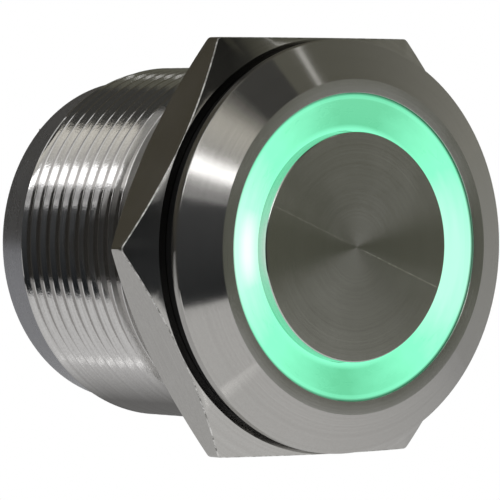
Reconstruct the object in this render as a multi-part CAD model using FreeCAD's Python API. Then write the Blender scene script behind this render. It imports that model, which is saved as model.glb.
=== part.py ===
import FreeCAD, Part
import math
import os

# Illuminated vandal-resistant push button for a panel cut-out.
# The button's axis is Y. The pressed face looks along -Y and the terminals along +Y, with +Z up.
# The origin is on the axis, in the plane where the bezel's rear face meets its gasket.
# All sizes are in millimetres.

# Barrel: the M22 x 1 shank behind the head, taken over the thread's crests
thread_r = 10.9
thread_rise = 0.8
relief_depth = 0.6
relief_width = 1.2
spigot_length = 3.4
spigot_chamfer = 0.3
barrel_wall = 0.7

# Bezel: the turned head in front of the panel
bezel_overhang = 1.6
bezel_height = 1.95
bezel_rim = 0.6
bezel_land = 0.82
edge_break = 0.1

# Fits and clearances
snug = 0.03
moulded = 0.02
stem_fit = 0.03
running = 0.06
stop_gap = 0.05
thread_clearance = 0.05

# How far a cut runs past the face it opens
overrun = 1.0

# Lens ring: the lit ring between bezel and cap, with its light tube behind it
web_step = 0.6
web_length = 1.7
lens_ledge = 0.45
lens_width = 2.25
lens_sink = 0.13
lens_land = 0.25
lens_dish = 0.46
lens_bow = 0.1
lens_seat_depth = 1.45
lens_seal_thick = 0.2
tube_wall = 1.0

# Button cap and its travel
cap_proud = 0.08
cap_top = 1.1
cap_wall = 1.1
cap_flange = 0.94
cap_flange_gap = 0.22
cap_boss_r = 2.6
cap_socket_r = 1.4
cap_socket_floor = 0.5
travel = 1.6

# Actuator stem with its clip and seal
stem_r = 1.9
stem_tail = 0.6
stem_tip_r = 1.1
stem_tip_length = 1.4
clip_thick = 0.4
clip_width = 1.6
clip_groove_depth = 0.4
clip_gap_deg = 70
stem_seal_size = 0.5
seal_side_gap = 0.05

# Guide body: carries the lamp board, the return spring and the stem
guide_disc = 1.5
guide_skirt = 0.4
guide_hub_wall = 0.7
guide_hub_length = 2.35
chamber_wall = 0.95
guide_tail = 1.65

# Lamp board
board_set_back = 3.75
board_thick = 0.8
board_gap = 0.7
led_count = 2
led_size = 0.8
led_length = 1.6
led_height = 0.6
led_gap = 0.1
resistor_length = 2.0
resistor_width = 1.2
resistor_height = 0.5
lamp_pin_inset = 0.7
lamp_pin_width = 1.5
lamp_pin_out = 5.0
lamp_pin_solder = 0.2

# Return spring
spring_wire_r = 0.28
spring_turns = 4.0
wire_sides = 6

# Contact block: double-break changeover bridge between two pairs of fixed contacts
strip = 0.5
contact_half = 0.75
contact_thick = 0.35
contact_gap = 0.02
contact_reach = 1.65
arm_margin = 0.25
arm_clear = 0.1
blade_x = 1.9
blade_width = 1.8
blade_gap = 0.8
blade_out = 6.0
blade_hole_r = 0.6
blade_hole_back = 1.5
bridge_width = 2.4
carrier_x = 2.2
carrier_z = 1.8
carrier_cheek = 0.85
carrier_back = 0.6
window_depth = 1.7
post_r = 1.2
post_engaged = 0.6
spring_strip = 0.2
spring_half = 1.5
spring_width = 1.6

# Switch base, its snap ring and the potting that closes the rear
base_wall = 0.95
base_floor = 2.5
base_clear = 3.36
ring_thick = 0.5
ring_depth = 0.32
ring_land = 0.8
ring_gap_deg = 50
potting_thick = 1.15
potting_sink = 0.25

# Panel gasket and nut
gasket_inset = 0.4
gasket_thick = 1.0
nut_overhang = 0.1
nut_height = 3.25
nut_crown_inset = 0.02
nut_crown_deg = 30.0
nut_corner_r = 0.35
nut_bore_chamfer = 0.3

# Radii, from the thread inwards and outwards
bezel_r = thread_r + bezel_overhang
relief_r = thread_r - relief_depth
spigot_r = thread_r - thread_rise
bore_r = spigot_r - barrel_wall
web_r = bore_r - web_step
lens_r = web_r + lens_ledge
bezel_flat_r = lens_r + snug + bezel_land
cap_r = lens_r - lens_width - running
cup_r = cap_r - cap_wall
tube_r = web_r - snug
tube_r_in = tube_r - tube_wall
cap_flange_r = tube_r_in - cap_flange_gap
insert_r = bore_r - snug - moulded
chamber_r = insert_r - chamber_wall
base_r_in = insert_r - base_wall
hub_r_in = stem_r + stem_fit
hub_r = hub_r_in + guide_hub_wall
spring_r = 0.5 * (hub_r + cup_r)
board_r_in = spring_r + spring_wire_r + board_gap
thread_bore_r = thread_r + thread_clearance

# Places across the axis
lamp_pin_x = board_r_in + lamp_pin_inset
terminal_half = blade_x + 0.5 * blade_width
blade_z = math.sqrt((base_r_in - blade_gap) ** 2 - terminal_half ** 2) - 0.5 * strip
contact_z = blade_z - contact_reach

# Places along the axis, from the pressed face to the rear
face_y = -(bezel_height + cap_proud)
lens_top_y = lens_sink - bezel_height
lens_seat_y = lens_seat_depth - bezel_height
web_end_y = lens_seat_y + web_length
cap_flange_y = lens_seat_y + stop_gap
cap_back_y = cap_flange_y + cap_flange
cap_floor_y = face_y + cap_top
board_front = web_end_y + board_set_back
tube_end_y = board_front - led_height - led_gap
guide_front_y = board_front + board_thick
guide_back_y = guide_front_y + guide_disc
stem_seal_y = guide_front_y + 0.5 * guide_disc
split_y = guide_back_y + guide_tail
clip_y = guide_back_y + stop_gap
carrier_y = clip_y + clip_thick + stem_tail
stem_end_y = carrier_y + stem_tip_length
first_arm = split_y + arm_clear
bridge_y = first_arm + strip + 2 * contact_thick + contact_gap
window_y = bridge_y - moulded
window_end = window_y + window_depth
carrier_end = window_end + carrier_back
second_tip_y = bridge_y + strip + contact_thick + travel + contact_gap
second_arm = second_tip_y + contact_thick
base_front_y = second_arm + strip + base_clear
base_back_y = base_front_y + base_floor
ring_y = base_back_y + moulded
potting_back_y = base_back_y + potting_thick
rear_y = potting_back_y + potting_sink
thread_end = rear_y - spigot_length


def turned(points):
    """Solid turned about the Y axis from a closed outline of (radius, y) points."""
    wire = Part.makePolygon([FreeCAD.Vector(r, y, 0) for r, y in points + points[:1]])
    return Part.Face(wire).revolve(FreeCAD.Vector(0, 0, 0), FreeCAD.Vector(0, 1, 0), 360)


def ring(r_in, r_out, y0, y1):
    """Plain ring of rectangular section, or a disc where r_in is zero."""
    return turned([(r_in, y0), (r_out, y0), (r_out, y1), (r_in, y1)])


def block(x0, x1, y0, y1, z0, z1):
    """Box between two corners."""
    return Part.makeBox(x1 - x0, y1 - y0, z1 - z0, FreeCAD.Vector(x0, y0, z0))


def round_bar(radius, x, y0, y1, z):
    """Round bar along the button's axis."""
    return Part.makeCylinder(radius, y1 - y0, FreeCAD.Vector(x, y0, z), FreeCAD.Vector(0, 1, 0))


def open_ring(r_in, r_out, y0, y1, gap_deg):
    """Flat ring with a gap at the bottom, as a snap ring or an open clip has."""
    start = math.radians(270 + gap_deg / 2)
    end = math.radians(270 - gap_deg / 2)
    reach = 2 * r_out
    before = y0 - overrun
    wedge = Part.makePolygon([
        FreeCAD.Vector(0, before, 0),
        FreeCAD.Vector(reach * math.cos(start), before, reach * math.sin(start)),
        FreeCAD.Vector(reach * math.cos(end), before, reach * math.sin(end)),
        FreeCAD.Vector(0, before, 0),
    ])
    gap = Part.Face(wedge).extrude(FreeCAD.Vector(0, y1 - y0 + 2 * overrun, 0))
    return ring(r_in, r_out, y0, y1).cut(gap)


def make_housing():
    """Bezel and barrel, turned in one piece, with the lens seat, inner web and snap-ring groove."""
    aperture_r = lens_r + snug
    groove_r = bore_r + ring_depth + snug
    groove = ring(0.5 * bore_r, groove_r, ring_y - snug, ring_y + ring_thick + snug)
    body = turned([
        (aperture_r, lens_seat_y),
        (aperture_r, -bezel_height),
        (bezel_flat_r, -bezel_height),
        (bezel_r, -bezel_rim),
        (bezel_r, 0),
        (relief_r, 0),
        (relief_r, relief_width),
        (thread_r, relief_width + relief_depth),
        (thread_r, thread_end),
        (spigot_r, thread_end + thread_rise),
        (spigot_r, rear_y - spigot_chamfer),
        (spigot_r - spigot_chamfer, rear_y),
        (bore_r, rear_y),
        (bore_r, web_end_y),
        (web_r, web_end_y),
        (web_r, lens_seat_y),
    ])
    return body.cut(groove)


def make_lens_ring():
    """Moulded lens: dished lit ring with the light tube that runs back to the lamps."""
    r_in = cap_r + running
    inner_y = lens_top_y + lens_dish
    land_r = lens_r - lens_land
    shoulder_y = lens_seat_y - lens_seal_thick
    mid_r = 0.5 * (r_in + land_r)
    mid_y = 0.5 * (lens_top_y + inner_y) + lens_bow
    dish = Part.Arc(FreeCAD.Vector(r_in, inner_y, 0), FreeCAD.Vector(mid_r, mid_y, 0),
                    FreeCAD.Vector(land_r, lens_top_y, 0)).toShape()
    rest = Part.makePolygon([
        FreeCAD.Vector(land_r, lens_top_y, 0),
        FreeCAD.Vector(lens_r, lens_top_y, 0),
        FreeCAD.Vector(lens_r, shoulder_y, 0),
        FreeCAD.Vector(tube_r, shoulder_y, 0),
        FreeCAD.Vector(tube_r, tube_end_y, 0),
        FreeCAD.Vector(tube_r_in, tube_end_y, 0),
        FreeCAD.Vector(tube_r_in, lens_seat_y, 0),
        FreeCAD.Vector(r_in, lens_seat_y, 0),
        FreeCAD.Vector(r_in, inner_y, 0),
    ])
    face = Part.Face(Part.Wire([dish] + rest.Edges))
    return face.revolve(FreeCAD.Vector(0, 0, 0), FreeCAD.Vector(0, 1, 0), 360)


def make_lens_seal():
    """Flat rubber ring between the lens shoulder and the housing's seat."""
    return ring(tube_r + snug, lens_r, lens_seat_y - lens_seal_thick, lens_seat_y)


def make_button_cap():
    """Turned metal cap: flat face, flange that stops under the lens, boss and socket for the stem."""
    socket_y = face_y + cap_socket_floor
    return turned([
        (0, face_y),
        (cap_r - edge_break, face_y),
        (cap_r, face_y + edge_break),
        (cap_r, cap_flange_y),
        (cap_flange_r, cap_flange_y),
        (cap_flange_r, cap_back_y),
        (cup_r, cap_back_y),
        (cup_r, cap_floor_y),
        (cap_boss_r, cap_floor_y),
        (cap_boss_r, cap_back_y),
        (cap_socket_r, cap_back_y),
        (cap_socket_r, socket_y),
        (0, socket_y),
    ])


def make_actuator_stem():
    """Moulded stem: plugs into the cap, slides in the guide hub and pushes the contact carrier."""
    groove_r = stem_r - clip_groove_depth
    plug_y = face_y + cap_socket_floor + stop_gap
    return turned([
        (0, plug_y),
        (cap_socket_r - snug, plug_y),
        (cap_socket_r - snug, cap_back_y),
        (stem_r, cap_back_y),
        (stem_r, clip_y),
        (groove_r, clip_y),
        (groove_r, clip_y + clip_thick),
        (stem_r, clip_y + clip_thick),
        (stem_r, carrier_y),
        (stem_tip_r, carrier_y),
        (stem_tip_r, stem_end_y),
        (0, stem_end_y),
    ])


def make_stem_clip():
    """Open clip in the stem's groove that stops the button against the guide body."""
    groove_r = stem_r - clip_groove_depth
    clip_r = stem_r + clip_width
    return open_ring(groove_r + snug, clip_r, clip_y, clip_y + clip_thick, clip_gap_deg)


def make_stem_seal():
    """Square-section rubber ring around the stem, held in the guide hub's groove."""
    r_in = stem_r + 0.5 * stem_fit
    half = 0.5 * stem_seal_size
    return ring(r_in, r_in + stem_seal_size, stem_seal_y - half, stem_seal_y + half)


def make_guide_body():
    """Moulded guide: skirt behind the housing's web, disc with the stem hub, tail to the base."""
    groove_r = hub_r_in + stem_seal_size
    groove_half = 0.5 * stem_seal_size + seal_side_gap
    skirt_r_in = insert_r - guide_skirt
    body = turned([
        (hub_r_in, guide_front_y - guide_hub_length),
        (hub_r, guide_front_y - guide_hub_length),
        (hub_r, guide_front_y),
        (skirt_r_in, guide_front_y),
        (skirt_r_in, web_end_y),
        (insert_r, web_end_y),
        (insert_r, split_y),
        (chamber_r, split_y),
        (chamber_r, guide_back_y),
        (hub_r_in, guide_back_y),
    ])
    groove = ring(0.5 * hub_r_in, groove_r, stem_seal_y - groove_half, stem_seal_y + groove_half)
    body = body.cut(groove)
    for side in (-1, 1):
        body = body.cut(lamp_pin(side, moulded))
    return body


def make_return_spring():
    """Compression spring between the cap and the guide disc, its round wire taken as a polygon."""
    low = cap_floor_y + spring_wire_r
    high = guide_front_y - spring_wire_r
    helix = Part.makeHelix((high - low) / spring_turns, high - low, spring_r)
    helix.rotate(FreeCAD.Vector(0, 0, 0), FreeCAD.Vector(1, 0, 0), -90)
    helix.translate(FreeCAD.Vector(0, low, 0))
    start = helix.Edges[0].valueAt(helix.Edges[0].FirstParameter)
    along = helix.Edges[0].tangentAt(helix.Edges[0].FirstParameter)
    circle = Part.makeCircle(spring_wire_r, start, along)
    section = Part.makePolygon(circle.discretize(wire_sides + 1))
    return Part.Wire(helix.Edges).makePipeShell([section], True, True)


def lamp_pin(side, grow):
    """Straight flat pin from the lamp board out of the rear, widened all round by grow."""
    x = side * lamp_pin_x
    half_t = 0.5 * strip + grow
    half_w = 0.5 * lamp_pin_width + grow
    return block(x - half_t, x + half_t, board_front - lamp_pin_solder, rear_y + lamp_pin_out,
                 -half_w, half_w)


def make_lamp_board():
    """Ring-shaped circuit board behind the light tube, with slots for the two lamp pins."""
    board_r = insert_r - guide_skirt - snug
    board = ring(board_r_in, board_r, board_front, guide_front_y)
    for side in (-1, 1):
        board = board.cut(lamp_pin(side, moulded))
    return board


def make_leds():
    """Lamp chips on the front of the board, evenly spaced under the light tube."""
    mean_r = 0.5 * (tube_r + tube_r_in)
    chips = []
    for i in range(led_count):
        chip = block(mean_r - 0.5 * led_size, mean_r + 0.5 * led_size, board_front - led_height,
                     board_front, -0.5 * led_length, 0.5 * led_length)
        chip.rotate(FreeCAD.Vector(0, 0, 0), FreeCAD.Vector(0, 1, 0), 360.0 * i / led_count)
        chips.append(chip)
    return Part.makeCompound(chips)


def make_lamp_resistor():
    """Chip resistor on the front of the board, inside the light tube."""
    mid_z = 0.5 * (board_r_in + tube_r_in)
    return block(-0.5 * resistor_length, 0.5 * resistor_length, board_front - resistor_height,
                 board_front, mid_z - 0.5 * resistor_width, mid_z + 0.5 * resistor_width)


def blade(x, side, y0, grow):
    """Flat contact blade above or below the axis, from y0 out of the rear, widened by grow."""
    z = side * blade_z
    half_t = 0.5 * strip + grow
    half_w = 0.5 * blade_width + grow
    return block(x - half_w, x + half_w, y0, rear_y + blade_out, z - half_t, z + half_t)


def contact_arm(x, side, y0):
    """Arm that carries a fixed contact from its blade in to the contact's centre."""
    outer = side * (blade_z + 0.5 * strip)
    inner = side * (contact_z - contact_half - arm_margin)
    left = min(x - 0.5 * blade_width, -contact_half)
    right = max(x + 0.5 * blade_width, contact_half)
    return block(left, right, y0, y0 + strip, min(inner, outer), max(inner, outer))


def solder_hole(x, side):
    """Wire hole across the outer end of a contact blade."""
    y = rear_y + blade_out - blade_hole_back
    z = side * blade_z
    return Part.makeCylinder(blade_hole_r, 4 * strip, FreeCAD.Vector(x, y, z - 2 * strip),
                             FreeCAD.Vector(0, 0, 1))


def make_terminal(x, side, arms):
    """One stamped terminal: blade, solder hole and an arm at each given place along the axis."""
    body = blade(x, side, min(arms), 0)
    for y0 in arms:
        body = body.fuse(contact_arm(x, side, y0))
    return body.removeSplitter().cut(solder_hole(x, side))


def contact_pair(y0):
    """Two square silver contacts, above and below the axis, from y0 backwards."""
    pads = []
    for side in (-1, 1):
        z = side * contact_z
        pads.append(block(-contact_half, contact_half, y0, y0 + contact_thick,
                          z - contact_half, z + contact_half))
    return pads


def make_fixed_contacts():
    """Silver contacts on the fixed arms: one pair faces back, the other faces forward."""
    return Part.makeCompound(contact_pair(first_arm + strip) + contact_pair(second_tip_y))


def make_moving_contacts():
    """Silver contacts on both sides of the bridge."""
    return Part.makeCompound(contact_pair(bridge_y - contact_thick) + contact_pair(bridge_y + strip))


def make_contact_bridge():
    """Brass bridge that joins the upper and lower contacts."""
    half_w = 0.5 * bridge_width
    reach = contact_z + contact_half
    return block(-half_w, half_w, bridge_y, bridge_y + strip, -reach, reach)


def make_contact_carrier():
    """Moulded carrier: socket for the stem, window for the bridge, guide post at the back."""
    body = block(-carrier_x, carrier_x, carrier_y, carrier_end, -carrier_z, carrier_z)
    inside = carrier_x - carrier_cheek
    body = body.cut(block(-inside, inside, window_y, window_end, -2 * carrier_z, 2 * carrier_z))
    socket = round_bar(stem_tip_r + snug, 0, carrier_y - overrun, stem_end_y + stop_gap, 0)
    post = round_bar(post_r, 0, carrier_end, base_front_y + post_engaged, 0)
    return body.cut(socket).fuse(post)


def make_contact_spring():
    """Bowed leaf spring that holds the bridge against the front of the carrier's window."""
    front = bridge_y + strip + moulded
    back = window_end - moulded
    rise = back - front - spring_strip
    radius = (spring_half ** 2 + rise ** 2) / (2 * rise)
    centre_y = back - spring_strip - radius
    half_angle = math.asin(spring_half / radius)
    x = -0.5 * spring_width

    def arc(r):
        ends = [FreeCAD.Vector(x, centre_y + r * math.cos(a), r * math.sin(a))
                for a in (-half_angle, 0, half_angle)]
        return Part.Arc(*ends).toShape()

    inner = arc(radius)
    outer = arc(radius + spring_strip)
    sides = [Part.makeLine(inner.Vertexes[i].Point, outer.Vertexes[i].Point) for i in (0, 1)]
    face = Part.Face(Part.Wire(Part.sortEdges([inner, outer] + sides)[0]))
    return face.extrude(FreeCAD.Vector(spring_width, 0, 0))


def make_switch_base():
    """Moulded base: chamber wall, ribs behind the blades and a floor with slots and a guide hole."""
    body = turned([
        (0, base_front_y),
        (base_r_in, base_front_y),
        (base_r_in, split_y),
        (insert_r, split_y),
        (insert_r, base_back_y),
        (0, base_back_y),
    ])
    rib_inner = blade_z + 0.5 * strip + moulded
    rib_outer = math.sqrt((insert_r - 0.5 * base_wall) ** 2 - terminal_half ** 2)
    for side in (-1, 1):
        near, far = sorted((side * rib_inner, side * rib_outer))
        body = body.fuse(block(-terminal_half, terminal_half, split_y, base_front_y, near, far))
    hole_end = base_front_y + post_engaged + travel + stop_gap
    body = body.cut(round_bar(post_r + running, 0, base_front_y - overrun, hole_end, 0))
    return cut_terminals(body.removeSplitter(), moulded)


def cut_terminals(body, gap):
    """Body with slots for all five terminals, each slot larger than its terminal by gap."""
    for x in (-blade_x, blade_x):
        body = body.cut(blade(x, 1, first_arm, gap))
    body = body.cut(blade(0, -1, first_arm, gap))
    for side in (-1, 1):
        body = body.cut(lamp_pin(side, gap))
    return body


def make_retaining_ring():
    """Snap ring in the housing's rear groove that holds the switch base in."""
    land_r = bore_r - ring_land
    return open_ring(land_r, bore_r + ring_depth, ring_y, ring_y + ring_thick, ring_gap_deg)


def make_potting():
    """Black casting resin that closes the rear around the terminals."""
    inner_r = bore_r - ring_land - snug
    step_y = ring_y + ring_thick + snug
    body = turned([
        (0, base_back_y),
        (inner_r, base_back_y),
        (inner_r, step_y),
        (bore_r - snug, step_y),
        (bore_r - snug, potting_back_y),
        (0, potting_back_y),
    ])
    return cut_terminals(body, moulded)


def make_panel_gasket():
    """Flat rubber gasket under the head."""
    return ring(thread_bore_r, bezel_r - gasket_inset, 0, gasket_thick)


def make_hex_nut():
    """Thin panel nut: corners chamfered at both faces, flats at top and bottom."""
    front = gasket_thick
    back = gasket_thick + nut_height
    apothem = bezel_r + nut_overhang
    corner = apothem / math.cos(math.pi / 6)
    turns = [math.radians(60 * k) for k in range(7)]
    points = [FreeCAD.Vector(corner * math.cos(a), front, corner * math.sin(a)) for a in turns]
    prism = Part.Face(Part.makePolygon(points)).extrude(FreeCAD.Vector(0, nut_height, 0))
    uprights = [e for e in prism.Edges if abs(e.tangentAt(e.FirstParameter).y) > 0.9]
    prism = prism.makeFillet(nut_corner_r, uprights)
    crown_r = apothem - nut_crown_inset
    crown_fall = (corner - crown_r) * math.tan(math.radians(nut_crown_deg))
    envelope = turned([
        (thread_bore_r + nut_bore_chamfer, front),
        (crown_r, front),
        (corner, front + crown_fall),
        (corner, back - crown_fall),
        (crown_r, back),
        (thread_bore_r + nut_bore_chamfer, back),
        (thread_bore_r, back - nut_bore_chamfer),
        (thread_bore_r, front + nut_bore_chamfer),
    ])
    return prism.common(envelope)


def build_nodes():
    """Every separate piece of the button by name."""
    return {
        "housing": make_housing(),
        "lens_ring": make_lens_ring(),
        "lens_seal": make_lens_seal(),
        "button_cap": make_button_cap(),
        "actuator_stem": make_actuator_stem(),
        "stem_clip": make_stem_clip(),
        "stem_seal": make_stem_seal(),
        "return_spring": make_return_spring(),
        "guide_body": make_guide_body(),
        "lamp_board": make_lamp_board(),
        "leds": make_leds(),
        "lamp_resistor": make_lamp_resistor(),
        "lamp_pin_plus": lamp_pin(1, 0),
        "lamp_pin_minus": lamp_pin(-1, 0),
        "contact_carrier": make_contact_carrier(),
        "contact_bridge": make_contact_bridge(),
        "moving_contacts": make_moving_contacts(),
        "contact_spring": make_contact_spring(),
        "common_terminal": make_terminal(0, -1, (first_arm, second_arm)),
        "closed_terminal": make_terminal(-blade_x, 1, (first_arm,)),
        "open_terminal": make_terminal(blade_x, 1, (second_arm,)),
        "fixed_contacts": make_fixed_contacts(),
        "switch_base": make_switch_base(),
        "retaining_ring": make_retaining_ring(),
        "potting": make_potting(),
        "panel_gasket": make_panel_gasket(),
        "hex_nut": make_hex_nut(),
    }


os.makedirs("parts", exist_ok=True)
for name, shape in build_nodes().items():
    shape.exportStep(f"parts/{name}.step")
    print(name, len(shape.Solids), round(shape.Volume, 3), shape.isValid())
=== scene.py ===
import math

import bmesh
import bpy
import numpy as np
from mathutils import Matrix, Vector


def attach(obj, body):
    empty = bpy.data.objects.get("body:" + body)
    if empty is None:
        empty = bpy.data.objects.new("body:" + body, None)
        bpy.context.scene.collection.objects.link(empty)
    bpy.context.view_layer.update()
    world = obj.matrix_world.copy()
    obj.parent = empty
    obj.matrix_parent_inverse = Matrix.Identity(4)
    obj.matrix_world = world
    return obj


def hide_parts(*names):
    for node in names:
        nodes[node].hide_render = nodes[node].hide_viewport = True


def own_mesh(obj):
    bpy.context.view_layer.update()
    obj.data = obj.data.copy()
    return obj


# Looks of an illuminated vandal-resistant push button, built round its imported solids.
# Metres throughout. The button's axis is Y: pressed face towards -Y, terminals towards +Y, +Z up.

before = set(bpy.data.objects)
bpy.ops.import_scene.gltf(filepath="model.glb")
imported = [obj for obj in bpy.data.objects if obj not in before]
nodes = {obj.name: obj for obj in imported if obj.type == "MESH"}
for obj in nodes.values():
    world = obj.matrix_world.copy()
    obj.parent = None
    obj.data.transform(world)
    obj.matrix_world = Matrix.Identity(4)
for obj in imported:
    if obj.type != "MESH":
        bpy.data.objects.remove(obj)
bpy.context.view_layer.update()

MM = 0.001
SEGMENTS = 144

# Turned head and barrel
BEZEL_R = 12.5 * MM
BEZEL_FLAT_R = 10.1 * MM
BEZEL_HEIGHT = 1.95 * MM
BEZEL_RIM = 0.6 * MM
APERTURE_R = 9.28 * MM
SEAT_Y = -0.5 * MM
WEB_R = 8.8 * MM
WEB_END = 1.2 * MM
BORE_R = 9.4 * MM
GROOVE_R = 9.75 * MM
GROOVE_FRONT = 19.39 * MM
GROOVE_BACK = 19.95 * MM
RELIEF_R = 10.3 * MM
RELIEF_END = 1.2 * MM
THREAD_R = 10.9 * MM
THREAD_PITCH = 1.0 * MM
THREAD_DEPTH = 0.6134 * MM
SPIGOT_R = 10.1 * MM
SPIGOT_START = 18.2 * MM
SPIGOT_CHAMFER = 0.3 * MM
REAR_Y = 20.8 * MM

# Skin of the thread: turns, rows in a turn, profile in shares of the pitch, crown as a share of the depth
THREAD_TURNS = round((SPIGOT_START - RELIEF_END) / THREAD_PITCH) + 1
THREAD_ROWS = 16
CREST_HALF = 1 / 16
ROOT_FROM = 6 / 16
CREST_CROWN = 0.045

# Where the housing's finish changes: beyond this radius, and this close to the front of its land
OUTSIDE_R = 9.7 * MM
LAND_BAND = 0.002 * MM

# Lens, cap, gasket and nut
LENS_R = 9.25 * MM
LENS_IN_R = 7.0 * MM
LENS_TOP = -1.82 * MM
LENS_DISH = 0.46 * MM
LENS_BOW = 0.1 * MM
LENS_LAND_R = 9.0 * MM
LENS_STEPS = 12
LENS_SHOULDER = -0.7 * MM
TUBE_R = 8.77 * MM
TUBE_IN_R = 7.77 * MM
TUBE_END = 4.25 * MM
CAP_R = 6.94 * MM
CAP_FACE = -2.03 * MM
CAP_WALL_BAND = 0.11 * MM
CAP_FLANGE_R = 7.55 * MM
CAP_FLANGE = -0.45 * MM
CAP_BACK = 0.49 * MM
CUP_R = 5.84 * MM
CAP_FLOOR = -0.93 * MM
BOSS_R = 2.6 * MM
SOCKET_R = 1.4 * MM
SOCKET_FLOOR = -1.53 * MM
GASKET_IN_R = 10.95 * MM
GASKET_R = 12.1 * MM
GASKET_THICK = 1.0 * MM
GASKET_ROUND = 0.1 * MM
NUT_BACK = 4.25 * MM
NUT_APOTHEM = 12.6 * MM
NUT_CROWN_R = 12.58 * MM
NUT_CROWN_SLOPE = math.tan(math.radians(30.0))
NUT_CORNER = 0.35 * MM
NUT_CHAMFER = 0.3 * MM
NUT_SIDE = math.radians(60.0)
NUT_CORNER_SHARES = (0.004, 0.008, 0.013, 0.02, 0.03, 0.05)
NUT_SIDE_FROM = 0.08
NUT_SIDE_STEPS = 18
NUT_ROUND_STEPS = 3
NUT_EDGE_STEPS = (9, 10, 11)

# Return spring
SPRING_R = 4.235 * MM
SPRING_WIRE = 0.28 * MM
SPRING_FRONT = -0.93 * MM
SPRING_BACK = 5.75 * MM
SPRING_TURNS = 5.0
SPRING_END_SHARE = 0.14
SPRING_POINTS = 260
WIRE_SIDES = 16

# Broken edges of the stamped pieces and lamps, and of the smallest pieces
STAMPED_EDGE = 0.06 * MM
SMALL_EDGE = 0.05 * MM


# Node helpers

def connect(tree, value, socket):
    """Link an output to a socket, or set the socket to a plain value."""
    if isinstance(value, bpy.types.NodeSocket):
        tree.links.new(value, socket)
    else:
        socket.default_value = value


def calc(tree, operation, *values):
    """Math node on sockets or numbers, by its operation."""
    node = tree.nodes.new("ShaderNodeMath")
    node.operation = operation
    for value, socket in zip(values, node.inputs):
        connect(tree, value, socket)
    return node.outputs[0]


def remap(tree, value, low, high, to_low, to_high):
    """Map a value from one range to another, held at both ends."""
    node = tree.nodes.new("ShaderNodeMapRange")
    connect(tree, value, node.inputs["Value"])
    for name, number in (("From Min", low), ("From Max", high), ("To Min", to_low), ("To Max", to_high)):
        connect(tree, number, node.inputs[name])
    return node.outputs["Result"]


def weighted(tree, a, b, share):
    """Sum of two values, of which the second counts by its share and the first by the rest."""
    return calc(tree, "ADD", calc(tree, "MULTIPLY", a, 1.0 - share), calc(tree, "MULTIPLY", b, share))


def blend_colour(tree, factor, a, b):
    """Mix two colours by a factor."""
    node = tree.nodes.new("ShaderNodeMix")
    node.data_type = "RGBA"
    connect(tree, factor, node.inputs["Factor"])
    connect(tree, a, node.inputs["A"])
    connect(tree, b, node.inputs["B"])
    return node.outputs["Result"]


def make_group(name, inputs, outputs):
    """Empty shader group with float inputs and float outputs, and its input and output sockets."""
    tree = bpy.data.node_groups.new(name, "ShaderNodeTree")
    for label, value in inputs:
        socket = tree.interface.new_socket(label, in_out="INPUT", socket_type="NodeSocketFloat")
        socket.default_value = value
    for label in outputs:
        tree.interface.new_socket(label, in_out="OUTPUT", socket_type="NodeSocketFloat")
    return tree, tree.nodes.new("NodeGroupInput").outputs, tree.nodes.new("NodeGroupOutput").inputs


def use_group(tree, group_tree, **values):
    """Place a shared group in a material with its own values, given with _ for spaces."""
    node = tree.nodes.new("ShaderNodeGroup")
    node.node_tree = group_tree
    for label, value in values.items():
        connect(tree, value, node.inputs[label.replace("_", " ")])
    return node.outputs


def place(tree):
    """Object coordinates as x, y, z and the distance from the button's axis."""
    point = tree.nodes.new("ShaderNodeTexCoord").outputs["Object"]
    axes = tree.nodes.new("ShaderNodeSeparateXYZ")
    tree.links.new(point, axes.inputs[0])
    x, y, z = axes.outputs
    squares = calc(tree, "ADD", calc(tree, "MULTIPLY", x, x), calc(tree, "MULTIPLY", z, z))
    return point, x, y, z, calc(tree, "SQRT", squares)


def noise(tree, vector, scale, detail=2.0, roughness=0.5):
    """Noise value on a vector."""
    node = tree.nodes.new("ShaderNodeTexNoise")
    connect(tree, vector, node.inputs["Vector"])
    connect(tree, scale, node.inputs["Scale"])
    node.inputs["Detail"].default_value = detail
    node.inputs["Roughness"].default_value = roughness
    return node.outputs["Fac"]


def join_xyz(tree, x, y, z):
    """Vector from three numbers or sockets."""
    node = tree.nodes.new("ShaderNodeCombineXYZ")
    for value, socket in zip((x, y, z), node.inputs):
        connect(tree, value, socket)
    return node.outputs[0]


# Shared surface effects

def turned_lay_group():
    """Concentric tool marks: fine rings, broad bands and their height, by radius and depth."""
    tree, given, out = make_group(
        "Turned Lay",
        [("Fine Rings", 9000.0), ("Broad Rings", 1200.0), ("Unevenness", 60.0)],
        ["Fine", "Broad", "Height"],
    )
    point, _, y, _, radius = place(tree)
    drift = calc(tree, "MULTIPLY", noise(tree, point, given["Unevenness"], 1.0), 0.01 * MM)
    section = join_xyz(tree, calc(tree, "ADD", radius, drift), y, 0.0)
    fine = noise(tree, section, given["Fine Rings"], 3.0, 0.65)
    broad = noise(tree, section, given["Broad Rings"], 2.0, 0.5)
    connect(tree, fine, out["Fine"])
    connect(tree, broad, out["Broad"])
    connect(tree, weighted(tree, fine, broad, 0.15), out["Height"])
    return tree


def handling_group():
    """Marks of use: soft smudges and sparse small nicks."""
    tree, given, out = make_group(
        "Handling", [("Smudge Size", 220.0), ("Nick Size", 2600.0)], ["Smudge", "Nicks"]
    )
    point = place(tree)[0]
    smudge = noise(tree, point, given["Smudge Size"], 4.0, 0.6)
    connect(tree, remap(tree, smudge, 0.38, 0.66, 0.0, 1.0), out["Smudge"])
    nick = noise(tree, point, given["Nick Size"], 1.0, 0.4)
    connect(tree, remap(tree, nick, 0.70, 0.78, 0.0, 1.0), out["Nicks"])
    return tree


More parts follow.
